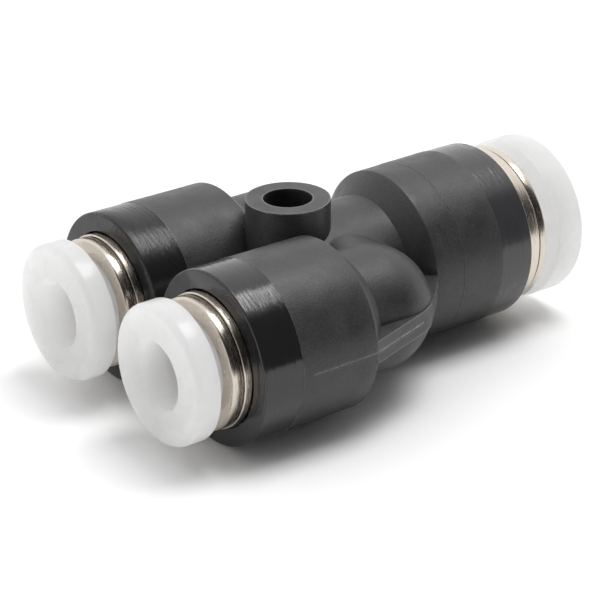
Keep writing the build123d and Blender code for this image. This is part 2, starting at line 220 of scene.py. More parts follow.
def matt_nylon(colours):
    """Glass-filled nylon from a spark-eroded mould: an even fine grain that scatters all gloss."""
    material, tree, output = new_material("nylon_spark_eroded")
    place = add_node(tree, "ShaderNodeTexCoord")
    # Craters of the spark erosion are about 0.08 mm across, drawn a third coarser so that they show.
    grain = add_node(tree, "ShaderNodeTexNoise", {
        "Vector": place.outputs["Object"], "Scale": 1 / (0.11 * MM), "Detail": 2, "Roughness": 0.6})
    # Glass fibres near the skin make it cloudy, in patches of up to 1.4 mm.
    cloud = add_node(tree, "ShaderNodeTexNoise", {
        "Vector": place.outputs["Object"], "Scale": 1 / (1.4 * MM), "Detail": 3, "Roughness": 0.6})
    speckle = add_node(tree, "ShaderNodeMapRange", {
        "Value": grain.outputs["Fac"], **NOISE, "To Min": 0.6, "To Max": 1.4})
    tint = add_node(tree, "ShaderNodeMapRange", {
        "Value": cloud.outputs["Fac"], **NOISE, "To Min": 0.85, "To Max": 1.15})
    # Convex edges get a painted highlight: their colour is made up to 2.2 times paler, for the light line
    # that rounded edges catch. They are also smoother, as they were packed hard into the mould's corners.
    inside = add_node(
        tree, "ShaderNodeAmbientOcclusion", {"Distance": 0.12 * MM}, inside=True, only_local=True, samples=6)
    edge = add_node(tree, "ShaderNodeMapRange", {
        "Value": inside.outputs["AO"], "From Min": 0.985, "From Max": 0.85, "To Min": 0, "To Max": 1})
    painted_edge_highlight = add_node(tree, "ShaderNodeMapRange", {
        "Value": edge.outputs["Result"], "To Min": 1, "To Max": 2.2})
    both = add_node(tree, "ShaderNodeMath", {
        0: speckle.outputs["Result"], 1: tint.outputs["Result"]}, operation="MULTIPLY")
    whole = add_node(tree, "ShaderNodeMath", {
        0: both.outputs["Value"], 1: painted_edge_highlight.outputs["Result"]}, operation="MULTIPLY")
    shade = add_node(tree, "ShaderNodeVectorMath", {
        0: tuple(colours.nylon_matt), "Scale": whole.outputs["Value"]}, operation="SCALE")
    rough = add_node(tree, "ShaderNodeMapRange", {
        "Value": cloud.outputs["Fac"], **NOISE, "To Min": 0.38, "To Max": 0.54})
    smoother = add_node(tree, "ShaderNodeMath", {
        0: edge.outputs["Result"], 1: -0.28, 2: rough.outputs["Result"]}, operation="MULTIPLY_ADD")
    bump = add_node(tree, "ShaderNodeBump", {
        "Height": grain.outputs["Fac"], "Strength": 1, "Distance": 0.016 * MM})
    shader = add_node(tree, "ShaderNodeBsdfPrincipled", {
        "Base Color": shade.outputs["Vector"], "Roughness": smoother.outputs["Value"],
        "Normal": bump.outputs["Normal"], "IOR": 1.55})
    tree.links.new(shader.outputs[0], output.inputs[0])
    return material


def flash_painted_highlight(colours):
    """Thin flash at the parting line: torn off by hand, so dry and rough, and pale partly as torn flash is
    and partly as a painted highlight for the light that the ridge catches.
    """
    material, tree, output = new_material("nylon_flash_painted_highlight")
    place = add_node(tree, "ShaderNodeTexCoord")
    tears = add_node(tree, "ShaderNodeTexNoise", {
        "Vector": place.outputs["Object"], "Scale": 1 / (0.35 * MM), "Detail": 3, "Roughness": 0.6})
    tone = add_node(tree, "ShaderNodeMapRange", {
        "Value": tears.outputs["Fac"], "From Min": 0.35, "From Max": 0.65, "To Min": 0.3, "To Max": 1.2})
    shade = add_node(tree, "ShaderNodeVectorMath", {
        0: tuple(colours.flash), "Scale": tone.outputs["Result"]}, operation="SCALE")
    shader = add_node(tree, "ShaderNodeBsdfPrincipled", {
        "Base Color": shade.outputs["Vector"], "Roughness": 0.6, "IOR": 1.55})
    tree.links.new(shader.outputs[0], output.inputs[0])
    return material


def gloss_nylon(
        colours, name="nylon_polished_mould", tone="nylon", duller=0.0, marks=0.02 * MM, shine=0.5):
    """The same nylon from a polished insert: glossy, with the insert's fine turning lines."""
    material, tree, output = new_material(name)
    place = add_node(tree, "ShaderNodeTexCoord")
    # Lines run round the barrel, so the pattern is fine along X and long across it.
    lines_at = add_node(tree, "ShaderNodeMapping", {
        "Vector": place.outputs["Object"], "Scale": (1 / (0.20 * MM), 1 / (1.6 * MM), 1 / (1.6 * MM))})
    lines = add_node(tree, "ShaderNodeTexNoise", {
        "Vector": lines_at.outputs["Vector"], "Scale": 1, "Detail": 3, "Roughness": 0.6})
    rough = add_node(tree, "ShaderNodeMapRange", {
        "Value": lines.outputs["Fac"], **NOISE,
        "To Min": 0.10 + duller, "To Max": 0.18 + duller})
    bump = add_node(tree, "ShaderNodeBump", {
        "Height": lines.outputs["Fac"], "Strength": 1, "Distance": marks})
    shader = add_node(tree, "ShaderNodeBsdfPrincipled", {
        "Base Color": rgba(getattr(colours, tone)), "Roughness": rough.outputs["Result"],
        "Normal": bump.outputs["Normal"], "IOR": 1.55, "Specular IOR Level": shine})
    tree.links.new(shader.outputs[0], output.inputs[0])
    return material


def satin_nylon(colours):
    """The same nylon at the large port's mouth, with softer gloss; its greyer colour is a painted lift that
    stands in for the brighter reflections on this band.
    """
    return gloss_nylon(colours, "nylon_satin_mould", "nylon_satin", duller=0.08)


def scuffed_nylon(colours):
    """The same nylon at the left port, rubbed in handling: fine arcs break up and weaken the gloss."""
    return gloss_nylon(colours, "nylon_scuffed", duller=0.06, marks=0.045 * MM, shine=0.3)


def white_acetal(colours):
    """Injection-moulded acetal: white, waxy and a little translucent."""
    material, tree, output = new_material("acetal_moulded_white")
    place = add_node(tree, "ShaderNodeTexCoord")
    # Flow of the melt leaves soft waves up to 1.5 mm long on the skin.
    waves = add_node(tree, "ShaderNodeTexNoise", {
        "Vector": place.outputs["Object"], "Scale": 1 / (1.5 * MM), "Detail": 2, "Roughness": 0.5})
    rough = add_node(tree, "ShaderNodeMapRange", {
        "Value": waves.outputs["Fac"], **NOISE, "To Min": 0.24, "To Max": 0.34})
    bump = add_node(tree, "ShaderNodeBump", {
        "Height": waves.outputs["Fac"], "Strength": 1, "Distance": 0.003 * MM})
    # Thin curved marks, where two fronts of the melt met, follow the middle level of the waves.
    off_middle = add_node(tree, "ShaderNodeMath", {0: waves.outputs["Fac"], 1: 0.5}, operation="SUBTRACT")
    near_middle = add_node(tree, "ShaderNodeMath", {0: off_middle.outputs["Value"]}, operation="ABSOLUTE")
    marks = add_node(tree, "ShaderNodeMapRange", {
        "Value": near_middle.outputs["Value"], "From Min": 0, "From Max": 0.05, "To Min": 1, "To Max": 0})
    bump = add_node(tree, "ShaderNodeBump", {
        "Height": marks.outputs["Result"], "Strength": 1, "Distance": 0.003 * MM,
        "Normal": bump.outputs["Normal"]})
    # The skin that froze against the polished mould is glossier than what lies under it.
    shader = add_node(tree, "ShaderNodeBsdfPrincipled", {
        "Base Color": rgba(colours.acetal), "Roughness": rough.outputs["Result"],
        "Normal": bump.outputs["Normal"], "IOR": 1.48, "Subsurface Weight": 0.6,
        "Subsurface Radius": (1.0, 1.0, 0.97), "Subsurface Scale": 1.5 * MM,
        "Coat Weight": 1, "Coat Roughness": 0.08})
    # Light crosses the thin walls, so the bore and the shaded back glow.
    through = add_node(tree, "ShaderNodeBsdfTranslucent", {
        "Color": rgba(colours.acetal), "Normal": bump.outputs["Normal"]})
    whole = add_node(tree, "ShaderNodeMixShader", {0: 0.66, 1: shader.outputs[0], 2: through.outputs[0]})
    tree.links.new(whole.outputs[0], output.inputs[0])
    return material


def bright_nickel(colours):
    """Bright nickel on turned brass: shiny and warm, with traces of the turning under it."""
    material, tree, output = new_material("nickel_plated_turned_brass")
    place = add_node(tree, "ShaderNodeTexCoord")
    lines_at = add_node(tree, "ShaderNodeMapping", {
        "Vector": place.outputs["Object"], "Scale": (1 / (0.12 * MM), 1 / MM, 1 / MM)})
    lines = add_node(tree, "ShaderNodeTexNoise", {
        "Vector": lines_at.outputs["Vector"], "Scale": 1, "Detail": 4, "Roughness": 0.65})
    rough = add_node(tree, "ShaderNodeMapRange", {
        "Value": lines.outputs["Fac"], **NOISE, "To Min": 0.14, "To Max": 0.32})
    bump = add_node(tree, "ShaderNodeBump", {
        "Height": lines.outputs["Fac"], "Strength": 1, "Distance": 0.012 * MM})
    # Painted shade: the colour falls to 0.15 of the nickel at the bottom of the groove and in other recesses
    # within 0.15 mm.
    open_part = add_node(
        tree, "ShaderNodeAmbientOcclusion", {"Distance": 0.15 * MM}, only_local=True, samples=6)
    painted_recess_shade = add_node(tree, "ShaderNodeMapRange", {
        "Value": open_part.outputs["AO"], "From Min": 0.35, "From Max": 0.8, "To Min": 0.15, "To Max": 1})
    shade = add_node(tree, "ShaderNodeVectorMath", {
        0: tuple(colours.nickel), "Scale": painted_recess_shade.outputs["Result"]}, operation="SCALE")
    shader = add_node(tree, "ShaderNodeBsdfPrincipled", {
        "Base Color": shade.outputs["Vector"], "Metallic": 1, "Roughness": rough.outputs["Result"],
        "Normal": bump.outputs["Normal"]})
    tree.links.new(shader.outputs[0], output.inputs[0])
    return material


def strip_steel(colours):
    """Cold-rolled stainless strip: satin, with fine rolling marks all one way."""
    material, tree, output = new_material("stainless_strip_rolled")
    place = add_node(tree, "ShaderNodeTexCoord")
    marks_at = add_node(tree, "ShaderNodeMapping", {
        "Vector": place.outputs["Object"], "Scale": (1 / MM, 1 / (0.08 * MM), 1 / (2 * MM))})
    marks = add_node(tree, "ShaderNodeTexNoise", {
        "Vector": marks_at.outputs["Vector"], "Scale": 1, "Detail": 3})
    rough = add_node(tree, "ShaderNodeMapRange", {
        "Value": marks.outputs["Fac"], **NOISE, "To Min": 0.26, "To Max": 0.4})
    shader = add_node(tree, "ShaderNodeBsdfPrincipled", {
        "Base Color": rgba(colours.steel), "Metallic": 1, "Roughness": rough.outputs["Result"]})
    tree.links.new(shader.outputs[0], output.inputs[0])
    return material


def plain_acetal(colours):
    """Natural acetal, uncoloured: off-white and waxy."""
    material, tree, output = new_material("acetal_moulded_natural")
    place = add_node(tree, "ShaderNodeTexCoord")
    waves = add_node(tree, "ShaderNodeTexNoise", {
        "Vector": place.outputs["Object"], "Scale": 1 / MM, "Detail": 2})
    rough = add_node(tree, "ShaderNodeMapRange", {
        "Value": waves.outputs["Fac"], **NOISE, "To Min": 0.36, "To Max": 0.5})
    shader = add_node(tree, "ShaderNodeBsdfPrincipled", {
        "Base Color": rgba(colours.natural_acetal), "Roughness": rough.outputs["Result"],
        "IOR": 1.48, "Subsurface Weight": 0.4, "Subsurface Radius": (1.0, 0.95, 0.85),
        "Subsurface Scale": 0.6 * MM})
    tree.links.new(shader.outputs[0], output.inputs[0])
    return material


def nitrile_rubber(colours):
    """Moulded nitrile rubber: black and dull, with a faint bloom."""
    material, tree, output = new_material("nitrile_rubber_moulded")
    place = add_node(tree, "ShaderNodeTexCoord")
    bloom = add_node(tree, "ShaderNodeTexNoise", {
        "Vector": place.outputs["Object"], "Scale": 1 / (0.6 * MM), "Detail": 4})
    rough = add_node(tree, "ShaderNodeMapRange", {
        "Value": bloom.outputs["Fac"], **NOISE, "To Min": 0.5, "To Max": 0.7})
    shader = add_node(tree, "ShaderNodeBsdfPrincipled", {
        "Base Color": rgba(colours.rubber), "Roughness": rough.outputs["Result"], "IOR": 1.52})
    tree.links.new(shader.outputs[0], output.inputs[0])
    return material


MATERIALS = {
    "matt_nylon": matt_nylon,
    "gloss_nylon": gloss_nylon,
    "satin_nylon": satin_nylon,
    "scuffed_nylon": scuffed_nylon,
    "flash_painted_highlight": flash_painted_highlight,
    "white_acetal": white_acetal,
    "bright_nickel": bright_nickel,
    "strip_steel": strip_steel,
    "plain_acetal": plain_acetal,
    "nitrile_rubber": nitrile_rubber,
}


def material_for(key):
    """A material from the list above, made the first time that a piece asks for it."""
    if key not in _made:
        _made[key] = MATERIALS[key](bpy.context.scene.fitting_colours)
    return _made[key]


_made = {}


# ---------------------------------------------------------------- mesh tools


def turned(outline):
    """Closed outline of (radius, height) points, spun about Z."""
    mesh = bmesh.new()
    corners = [mesh.verts.new((radius, 0, height)) for radius, height in outline]
    edges = [mesh.edges.new((corners[i - 1], corners[i])) for i in range(len(corners))]
    bmesh.ops.spin(
        mesh, geom=corners + edges, cent=(0, 0, 0), axis=(0, 0, 1), angle=2 * pi,
        steps=SPIN_STEPS, use_merge=True,
    )
    bmesh.ops.remove_doubles(mesh, verts=mesh.verts, dist=SAME_PLACE)
    bmesh.ops.recalc_face_normals(mesh, faces=mesh.faces)
    return mesh


def round_rim(mesh, radius, height, offset, segments=RIM_SEGMENTS):
    """Rounds, or with one segment chamfers, the circular edge at a radius and a height."""
    def on_rim(vert):
        return abs(hypot(vert.co.x, vert.co.y) - radius) < ON_RIM and abs(vert.co.z - height) < ON_RIM

    rim = [edge for edge in mesh.edges if on_rim(edge.verts[0]) and on_rim(edge.verts[1])]
    if not rim:
        raise ValueError(f"no rim at radius {radius / MM:.3f} mm, height {height / MM:.3f} mm")
    bmesh.ops.bevel(
        mesh, geom=rim, offset=offset, offset_type="OFFSET", segments=segments, profile=0.5,
        affect="EDGES", material=-1,
    )


def block(mesh, low, high, turn):
    """Adds a box between two corners, turned about Z."""
    size = Vector(high) - Vector(low)
    middle = (Vector(high) + Vector(low)) / 2
    place = Matrix.Rotation(turn, 4, "Z") @ Matrix.Translation(middle)
    bmesh.ops.create_cube(mesh, size=1, matrix=place @ Matrix.Diagonal((*size, 1)))


def new_object(name, mesh):
    """An object with the mesh, in the scene."""
    data = bpy.data.meshes.new(name)
    mesh.to_mesh(data)
    thing = bpy.data.objects.new(name, data)
    bpy.context.scene.collection.objects.link(thing)
    return thing


def cut_away(mesh, tool):
    """The mesh less the tool, both closed."""
    part = new_object("part_to_cut", mesh)
    knife = new_object("cutting_tool", tool)
    cut = part.modifiers.new("Cut", "BOOLEAN")
    cut.operation = "DIFFERENCE"
    cut.solver = "EXACT"
    cut.object = knife
    result = bpy.data.meshes.new_from_object(part.evaluated_get(bpy.context.evaluated_depsgraph_get()))
    mesh.clear()
    mesh.from_mesh(result)
    for thing in (part, knife):
        data = thing.data
        bpy.data.objects.remove(thing)
        bpy.data.meshes.remove(data)
    bpy.data.meshes.remove(result)
    tool.free()
    return mesh


def make_piece(mesh, node, body, materials, bend=None):
    """Turns a finished mesh into the piece that stands for a CAD node.

    It rides on a body; when a bend is given, it is left unattached, with its place baked into its mesh.
    """
    bmesh.ops.remove_doubles(mesh, verts=mesh.verts, dist=SAME_PLACE)
    piece = new_object(node + "_finished", mesh)
    mesh.free()
    for key in materials:
        piece.data.materials.append(material_for(key))
    stored = piece.data.attributes.get("custom_normal")
    if stored:
        piece.data.attributes.remove(stored)
    piece.data.shade_smooth()
    piece.data.set_sharp_from_angle(angle=SHARP_ANGLE)
    normals = piece.modifiers.new("Weighted normals", "WEIGHTED_NORMAL")
    normals.keep_sharp = True
    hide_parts(node)
    if bend:
        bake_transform(piece)
    else:
        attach(piece, body)
    return piece


# ---------------------------------------------------------------- ports


class Port:
    """Place and sizes of one port. Heights run along its axis from the body's face, outwards."""

    def __init__(self, name, sizes, teeth, origin, across, outward):
        self.name = name
        self.sizes = sizes
        self.teeth = teeth
        self.origin = Vector(origin)
        self.outward = Vector(outward)
        axes = Matrix((across, self.outward.cross(Vector(across)), outward)).transposed()
        self.matrix = Matrix.Translation(self.origin) @ axes.to_4x4()

    def at(self, height):
        """Point on the port's axis at a height."""
        return self.origin + self.outward * height

    def depth(self, point):
        """How deep a point lies behind the port's face."""
        return (self.origin - point).dot(self.outward)

    def span(self, node):
        """Lowest and highest height of a CAD node."""
        ends = [(corner - self.origin).dot(self.outward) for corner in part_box(f"{self.name}_{node}")]
        return min(ends), max(ends)

    def place(self, mesh):
        """Moves a mesh from the port's own axes to its place."""
        bmesh.ops.transform(mesh, matrix=self.matrix, verts=mesh.verts)
        return mesh


def ports():
    """The three ports. The two small ones are mirror images."""
    scene = bpy.context.scene
    sizes = scene.fitting_sizes
    small_y = sizes.port_pitch / 2
    found = []
    for name, side in (("left", 1), ("right", -1)):
        found.append(Port(
            name, scene.fitting_small_port, sizes.small_teeth,
            (SMALL_FACE_X, side * small_y, 0), (0, -side, 0), (-1, 0, 0)))
    found.append(Port(
        "large", scene.fitting_large_port, sizes.large_teeth, (LARGE_FACE_X, 0, 0), (0, 1, 0), (1, 0, 0)))
    return found


# ---------------------------------------------------------------- pieces

# Push ring: play, straight part and whole length of its snap bead, then its corners and slots
BEAD_PLAY = 0.05 * MM
BEAD_HEIGHT = 0.25 * MM
BEAD_LENGTH = 0.55 * MM
BACK_RIM_ROUND = 0.12 * MM
NECK_CORNER_ROUND = 0.05 * MM
NOSE_SLOTS = 4
# A cutting tool starts at this share of the bore's radius and reaches this far past what it cuts.
SLOT_START = 0.4
TOOTH_GAP_START = 0.6
PAST_CUT = 0.1 * MM

# Guide sleeve
BARBS = 3
BARB_LENGTH = 0.5 * MM
FRONT_RIM_ROUND = 0.18 * MM
GUIDE_RIM_ROUND = 0.1 * MM
GROOVE_RIM_ROUND = 0.03 * MM
COLLAR_RIM_ROUND = 0.08 * MM

# Back ring: room round the tube and the nose, depth of its cone and of the cone's steep end
THROAT_ROOM = 0.1 * MM
NOSE_ROOM = 0.15 * MM
CONE_END = 0.43 * MM
STEEP_END = 0.215 * MM
BACK_RING_ROUND = 0.05 * MM

# Seal: wall, room round the tube, depth of the groove between the lips, and soft edges
SEAL_WALL = 0.6 * MM
SEAL_ROOM = 0.1 * MM
SEAL_GROOVE = 0.7 * MM
SEAL_ROUND = 0.06 * MM


def release_ring(port, shared):
    """Push ring: flange, neck, snap bead and a nose split by slots."""
    size = port.sizes
    nose_end, front = port.span("release_ring")
    back = front - size.flange_thickness
    bead_top = -shared.guide_depth - BEAD_PLAY
    ring = turned([
        (size.bore_radius, front),
        (size.flange_radius, front),
        (size.flange_radius, back),
        (size.neck_radius, back),
        (size.neck_radius, bead_top),
        (size.bead_radius, bead_top),
        (size.bead_radius, bead_top - BEAD_HEIGHT),
        (size.neck_radius, bead_top - BEAD_LENGTH),
        (size.nose_radius, nose_end),
        (size.bore_radius, nose_end),
    ])
    round_rim(ring, size.flange_radius, front, size.flange_round, FLANGE_SEGMENTS)
    round_rim(ring, size.bore_radius, front, shared.entry_round, ENTRY_SEGMENTS)
    round_rim(ring, size.flange_radius, back, BACK_RIM_ROUND)
    round_rim(ring, size.neck_radius, back, NECK_CORNER_ROUND, CORNER_SEGMENTS)
    slots = bmesh.new()
    for index in range(NOSE_SLOTS):
        block(
            slots, (SLOT_START * size.bore_radius, -shared.slot_width / 2, nose_end - PAST_CUT),
            (size.bead_radius + PAST_CUT, shared.slot_width / 2, -shared.slot_top),
            index * 2 * pi / NOSE_SLOTS)
    return port.place(cut_away(ring, slots))


def guide_sleeve(port, shared):
    """Plated sleeve: bright front band, fine groove, collar, barbs and an inner chamber."""
    size = port.sizes
    end, front = port.span("guide_sleeve")
    groove_top = size.groove_height + shared.groove_width
    groove_radius = size.front_radius - shared.groove_depth
    shank = size.seat_radius - shared.barb_height
    outline = [
        (size.guide_radius, front),
        (size.front_radius, front),
        (size.front_radius, groove_top),
        (groove_radius, groove_top),
        (groove_radius, size.groove_height),
        (size.collar_radius, size.groove_height),
        (size.collar_radius, -shared.collar_depth),
        (shank, -shared.collar_depth),
    ]
    for index in range(BARBS):
        top = -shared.collar_depth - BARB_LENGTH - index * shared.barb_pitch
        outline += [(shank, top), (size.seat_radius, top), (shank, top - BARB_LENGTH)]
    outline += [
        (shank, end),
        (size.chamber_radius, end),
        (size.chamber_radius, -shared.guide_depth),
        (size.guide_radius, -shared.guide_depth),
    ]
    sleeve = turned(outline)
    round_rim(sleeve, size.front_radius, front, FRONT_RIM_ROUND)
    round_rim(sleeve, size.guide_radius, front, GUIDE_RIM_ROUND, FINE_SEGMENTS)
    round_rim(sleeve, size.front_radius, groove_top, GROOVE_RIM_ROUND, FINE_SEGMENTS)
    round_rim(sleeve, size.collar_radius, size.groove_height, COLLAR_RIM_ROUND, COLLAR_SEGMENTS)
    return port.place(sleeve)


def lock_claw(port, shared):
    """Toothed ring pressed from strip: a flat rim, and teeth that slope in to the tube."""
    size = port.sizes
    top = port.span("lock_claw")[1]
    thick = shared.claw_thickness
    slope = shared.claw_angle
    tip = top - (size.bead_radius - size.tooth_radius) * tan(slope)
    cut = thick * cos(slope)
    claw = turned([
        (size.seat_radius, top),
        (size.seat_radius, top - thick),
        (size.bead_radius, top - thick),
        (size.tooth_radius + cut * sin(slope), tip - cut * cos(slope)),
        (size.tooth_radius, tip),
        (size.bead_radius, top),
    ])
    gaps = bmesh.new()
    for index in range(port.teeth):
        block(
            gaps, (TOOTH_GAP_START * size.tooth_radius, -shared.tooth_gap / 2, tip - 2 * thick),
            (size.bead_radius, shared.tooth_gap / 2, top + thick), index * 2 * pi / port.teeth)
    return port.place(cut_away(claw, gaps))


def back_ring(port, shared):
    """Ring behind the claw, with a cone that leaves the teeth room to bend back."""
    size = port.sizes
    end, top = port.span("back_ring")
    throat = size.bore_radius + THROAT_ROOM
    cone_end = end + CONE_END
    ring = turned([
        (size.seat_radius, top),
        (size.seat_radius, end),
        (throat, end),
        (throat, cone_end - STEEP_END),
        (size.nose_radius + NOSE_ROOM, cone_end),
        (size.bead_radius, top),
    ])
    round_rim(ring, size.seat_radius, top, BACK_RING_ROUND, CORNER_SEGMENTS)
    round_rim(ring, size.seat_radius, end, BACK_RING_ROUND, CORNER_SEGMENTS)
    return port.place(ring)


def seal(port, shared):
    """Lip seal: outer wall, inner lip and the groove between them, all with soft edges."""
    size = port.sizes
    end, top = port.span("seal")
    groove = (size.seat_radius + size.lip_radius) / 2
    outline = [
        (size.bore_radius + SEAL_ROOM, top),
        (size.seat_radius, top),
        (size.seat_radius, end),
        (size.seat_radius - SEAL_WALL, end),
        (groove, end + SEAL_GROOVE),
        (size.lip_radius + SEAL_WALL / 2, end),
        (size.lip_radius, end + SEAL_WALL / 2),
    ]
    ring = turned(outline)
    for radius, height in (outline[0], outline[1], outline[2], outline[5], outline[6]):
        round_rim(ring, radius, height, SEAL_ROUND, FINE_SEGMENTS)
    return port.place(ring)


BODY_MATERIALS = ("matt_nylon", "gloss_nylon", "flash_painted_highlight", "satin_nylon", "scuffed_nylon")
FLASH_PAINTED_HIGHLIGHT = BODY_MATERIALS.index("flash_painted_highlight")

# Flash ridges of the left side, along the barrel and along the web. The right side mirrors them.
# Start, end and outward direction in X and Y, half the width, and the least share of its height that
# the ridge keeps. Lengths are in millimetres.
FLASH_LINES = (
    ((-6.3, 10.98), (-1.62, 10.96), (0, 1), 0.03, 0.3),
    ((-1.45, 10.92), (3.28, 9.345), (0.3157, 0.9489), 0.06, 0.05),
)
# Length of one step of the ridge, depth of its sunk foot in millimetres, and the share of its height
# that its two ends have
FLASH_STEP = 0.18 * MM
FLASH_FOOT = 0.03
FLASH_ENDS = 0.3

# The ledge of the parting step is narrow and flat, away from the collar and from the mouth.
LEDGE_WIDTH = 0.05 * MM
LEDGE_FLATNESS = 0.005 * MM
COLLAR_MARGIN = 0.4 * MM
MOUTH_MARGIN = 1 * MM


def flash_ridge(mesh, start, end, outward, height, half, lowest, seed):
    """Adds the thin uneven ridge along a parting line, with half its width given."""
    rng = random.Random(seed)
    start, end, outward = Vector(start), Vector(end), Vector(outward)
    along = (end - start).normalized()
    across = along.cross(outward)
    steps = max(int((end - start).length / FLASH_STEP), 2)
    foot = start - outward * FLASH_FOOT * MM
    section = [mesh.verts.new(foot + across * half), mesh.verts.new(foot - across * half),
               mesh.verts.new(start + outward * height * FLASH_ENDS)]
    first = mesh.faces.new(section)
    faces = [first]
    edges = list(first.edges)
    for index in range(1, steps + 1):
        grown = bmesh.ops.extrude_edge_only(mesh, edges=edges)["geom"]
        edges = [part for part in grown if isinstance(part, bmesh.types.BMEdge)
                 and all(v in grown for v in part.verts)]
        verts = [part for part in grown if isinstance(part, bmesh.types.BMVert)]
        faces += [part for part in grown if isinstance(part, bmesh.types.BMFace)]
        bmesh.ops.translate(mesh, verts=verts, vec=(end - start) / steps)
        tip = max(verts, key=lambda v: v.co.dot(outward))
        base = (start + (end - start) * index / steps).dot(outward)
        rise = height * (FLASH_ENDS if index == steps else rng.uniform(lowest, 1.0))
        tip.co += outward * (base + rise - tip.co.dot(outward))
    faces += bmesh.ops.contextual_create(mesh, geom=edges)["faces"]
    bmesh.ops.recalc_face_normals(mesh, faces=faces)
    for face in faces:
        face.material_index = FLASH_PAINTED_HIGHLIGHT


def is_parting_step(face, all_ports):
    """True for the tiny ledge round a barrel where two inserts of the mould met."""
    middle = face.calc_center_median()
    nearest = min(all_ports, key=lambda port: (middle - port.origin).length)
    radii = [(vert.co - nearest.origin).cross(nearest.outward).length for vert in face.verts]
    heights = [(vert.co - nearest.origin).dot(nearest.outward) for vert in face.verts]
    narrow = max(radii) - min(radii) < LEDGE_WIDTH and max(heights) - min(heights) < LEDGE_FLATNESS
    outside = min(radii) > nearest.sizes.collar_radius + COLLAR_MARGIN
    return narrow and outside and max(heights) < -MOUTH_MARGIN


def skin_at(place, all_ports):
    """Material of the body's skin: each mouth has its own glossy band, and the rest is matt."""
    left, _, large = all_ports
    if large.depth(place) < large.sizes.band_length:
        return "satin_nylon"
    if left.depth(place) < left.sizes.band_length:
        return "scuffed_nylon" if place.y > 0 else "gloss_nylon"
    return "matt_nylon"


def body_moulding(all_ports, shared):
    """The one-piece moulding: the CAD form, glossy at the mouths and matt elsewhere."""
    mesh = bmesh.new()
    mesh.from_mesh(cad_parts["body"].data)
    bmesh.ops.remove_doubles(mesh, verts=mesh.verts, dist=SAME_PLACE)
    for face in mesh.faces:
        skin = skin_at(face.calc_center_median(), all_ports)
        face.material_index = BODY_MATERIALS.index(skin)
        # The parting step's ledge gets the flash's pale grey: a painted highlight that draws it as a light
        # line.
        if is_parting_step(face, all_ports):
            face.material_index = FLASH_PAINTED_HIGHLIGHT
    for number, side in enumerate((1, -1)):
        for line, (start, end, outward, half, lowest) in enumerate(FLASH_LINES):
            flash_ridge(
                mesh, (start[0] * MM, side * start[1] * MM, 0), (end[0] * MM, side * end[1] * MM, 0),
                (outward[0], side * outward[1], 0), shared.flash_height, half * MM, lowest,
                shared.seed + 2 * line + number)
    return mesh


# ---------------------------------------------------------------- operators


class FITTING_OT_body(bpy.types.Operator):
    """Build the black moulding that carries the other pieces"""
    bl_idname = "fitting.body"
    bl_label = "Body moulding"

    def execute(self, context):
        mesh = body_moulding(ports(), context.scene.fitting_sizes)
        make_piece(mesh, "body", "fitting", BODY_MATERIALS)
        return {"FINISHED"}


class FITTING_OT_release_rings(bpy.types.Operator):
    """Build the white push rings that let go of the tubes"""
    bl_idname = "fitting.release_rings"
    bl_label = "Push rings"

    def execute(self, context):
        for port in ports():
            mesh = release_ring(port, context.scene.fitting_sizes)
            make_piece(
                mesh, f"{port.name}_release_ring", f"{port.name}_ring", ("white_acetal",))
        return {"FINISHED"}


class FITTING_OT_guide_sleeves(bpy.types.Operator):
    """Build the nickel-plated sleeves in the mouths of the body"""
    bl_idname = "fitting.guide_sleeves"
    bl_label = "Guide sleeves"

    def execute(self, context):
        for port in ports():
            mesh = guide_sleeve(port, context.scene.fitting_sizes)
            make_piece(mesh, f"{port.name}_guide_sleeve", "fitting", ("bright_nickel",))
        return {"FINISHED"}


class FITTING_OT_lock_claws(bpy.types.Operator):
    """Build the toothed steel rings that grip the tubes"""
    bl_idname = "fitting.lock_claws"
    bl_label = "Lock claws"

    def execute(self, context):
        shared = context.scene.fitting_sizes
        for port in ports():
            mesh = lock_claw(port, shared)
            # The rim stays clamped in the body, and the teeth bend in with the push ring's nose. Only the
            # bend's points are listed here; the piece itself is not made to bend.
            rim = port.span("lock_claw")[1] - shared.claw_thickness
            bend = (f"{port.name}_ring", port.at(rim), port.at(rim - shared.tooth_bend))
            make_piece(mesh, f"{port.name}_lock_claw", "fitting", ("strip_steel",), bend)
        return {"FINISHED"}


class FITTING_OT_back_rings(bpy.types.Operator):
    """Build the rings that back up the claws and hold the seals"""
    bl_idname = "fitting.back_rings"
    bl_label = "Back rings"

    def execute(self, context):
        for port in ports():
            mesh = back_ring(port, context.scene.fitting_sizes)
            make_piece(mesh, f"{port.name}_back_ring", "fitting", ("plain_acetal",))
        return {"FINISHED"}


class FITTING_OT_seals(bpy.types.Operator):
    """Build the rubber lip seals"""
    bl_idname = "fitting.seals"
    bl_label = "Seals"

    def execute(self, context):
        for port in ports():
            mesh = seal(port, context.scene.fitting_sizes)
            make_piece(mesh, f"{port.name}_seal", "fitting", ("nitrile_rubber",))
        return {"FINISHED"}


class FITTING_OT_stage(bpy.types.Operator):
    """Lay the white sheet, and set the lights and the camera"""
    bl_idname = "fitting.stage"
    bl_label = "Stage"

    def execute(self, context):
        lay_floor(context.scene.fitting_colours)
        light_room()
        place_lamps()
        place_camera()
        context.scene.view_settings.view_transform = "Standard"
        return {"FINISHED"}


# ---------------------------------------------------------------- stage

# Sheet: half its length along X and its edges along Y in metres, its slope along X, and where it
# meets the small barrels
SHEET_HALF_LENGTH = 0.7
SHEET_FAR_EDGE = 0.9
SHEET_NEAR_EDGE = -0.075
SHEET_SLOPE = -0.0173
SHEET_TOUCH_X = -9.7 * MM
SHEET_TOUCH_Z = -5.505 * MM

# Room: azimuth of the bright wall's middle in degrees from X, on the far side from the camera, the
# brightness of the room and of that wall, and the cosine of the angle off the wall's middle within
# which it is fully bright
BRIGHT_WALL = 54
ROOM_LEVEL, WALL_LEVEL = 0.91, 1.20
WALL_FULL = 0.7
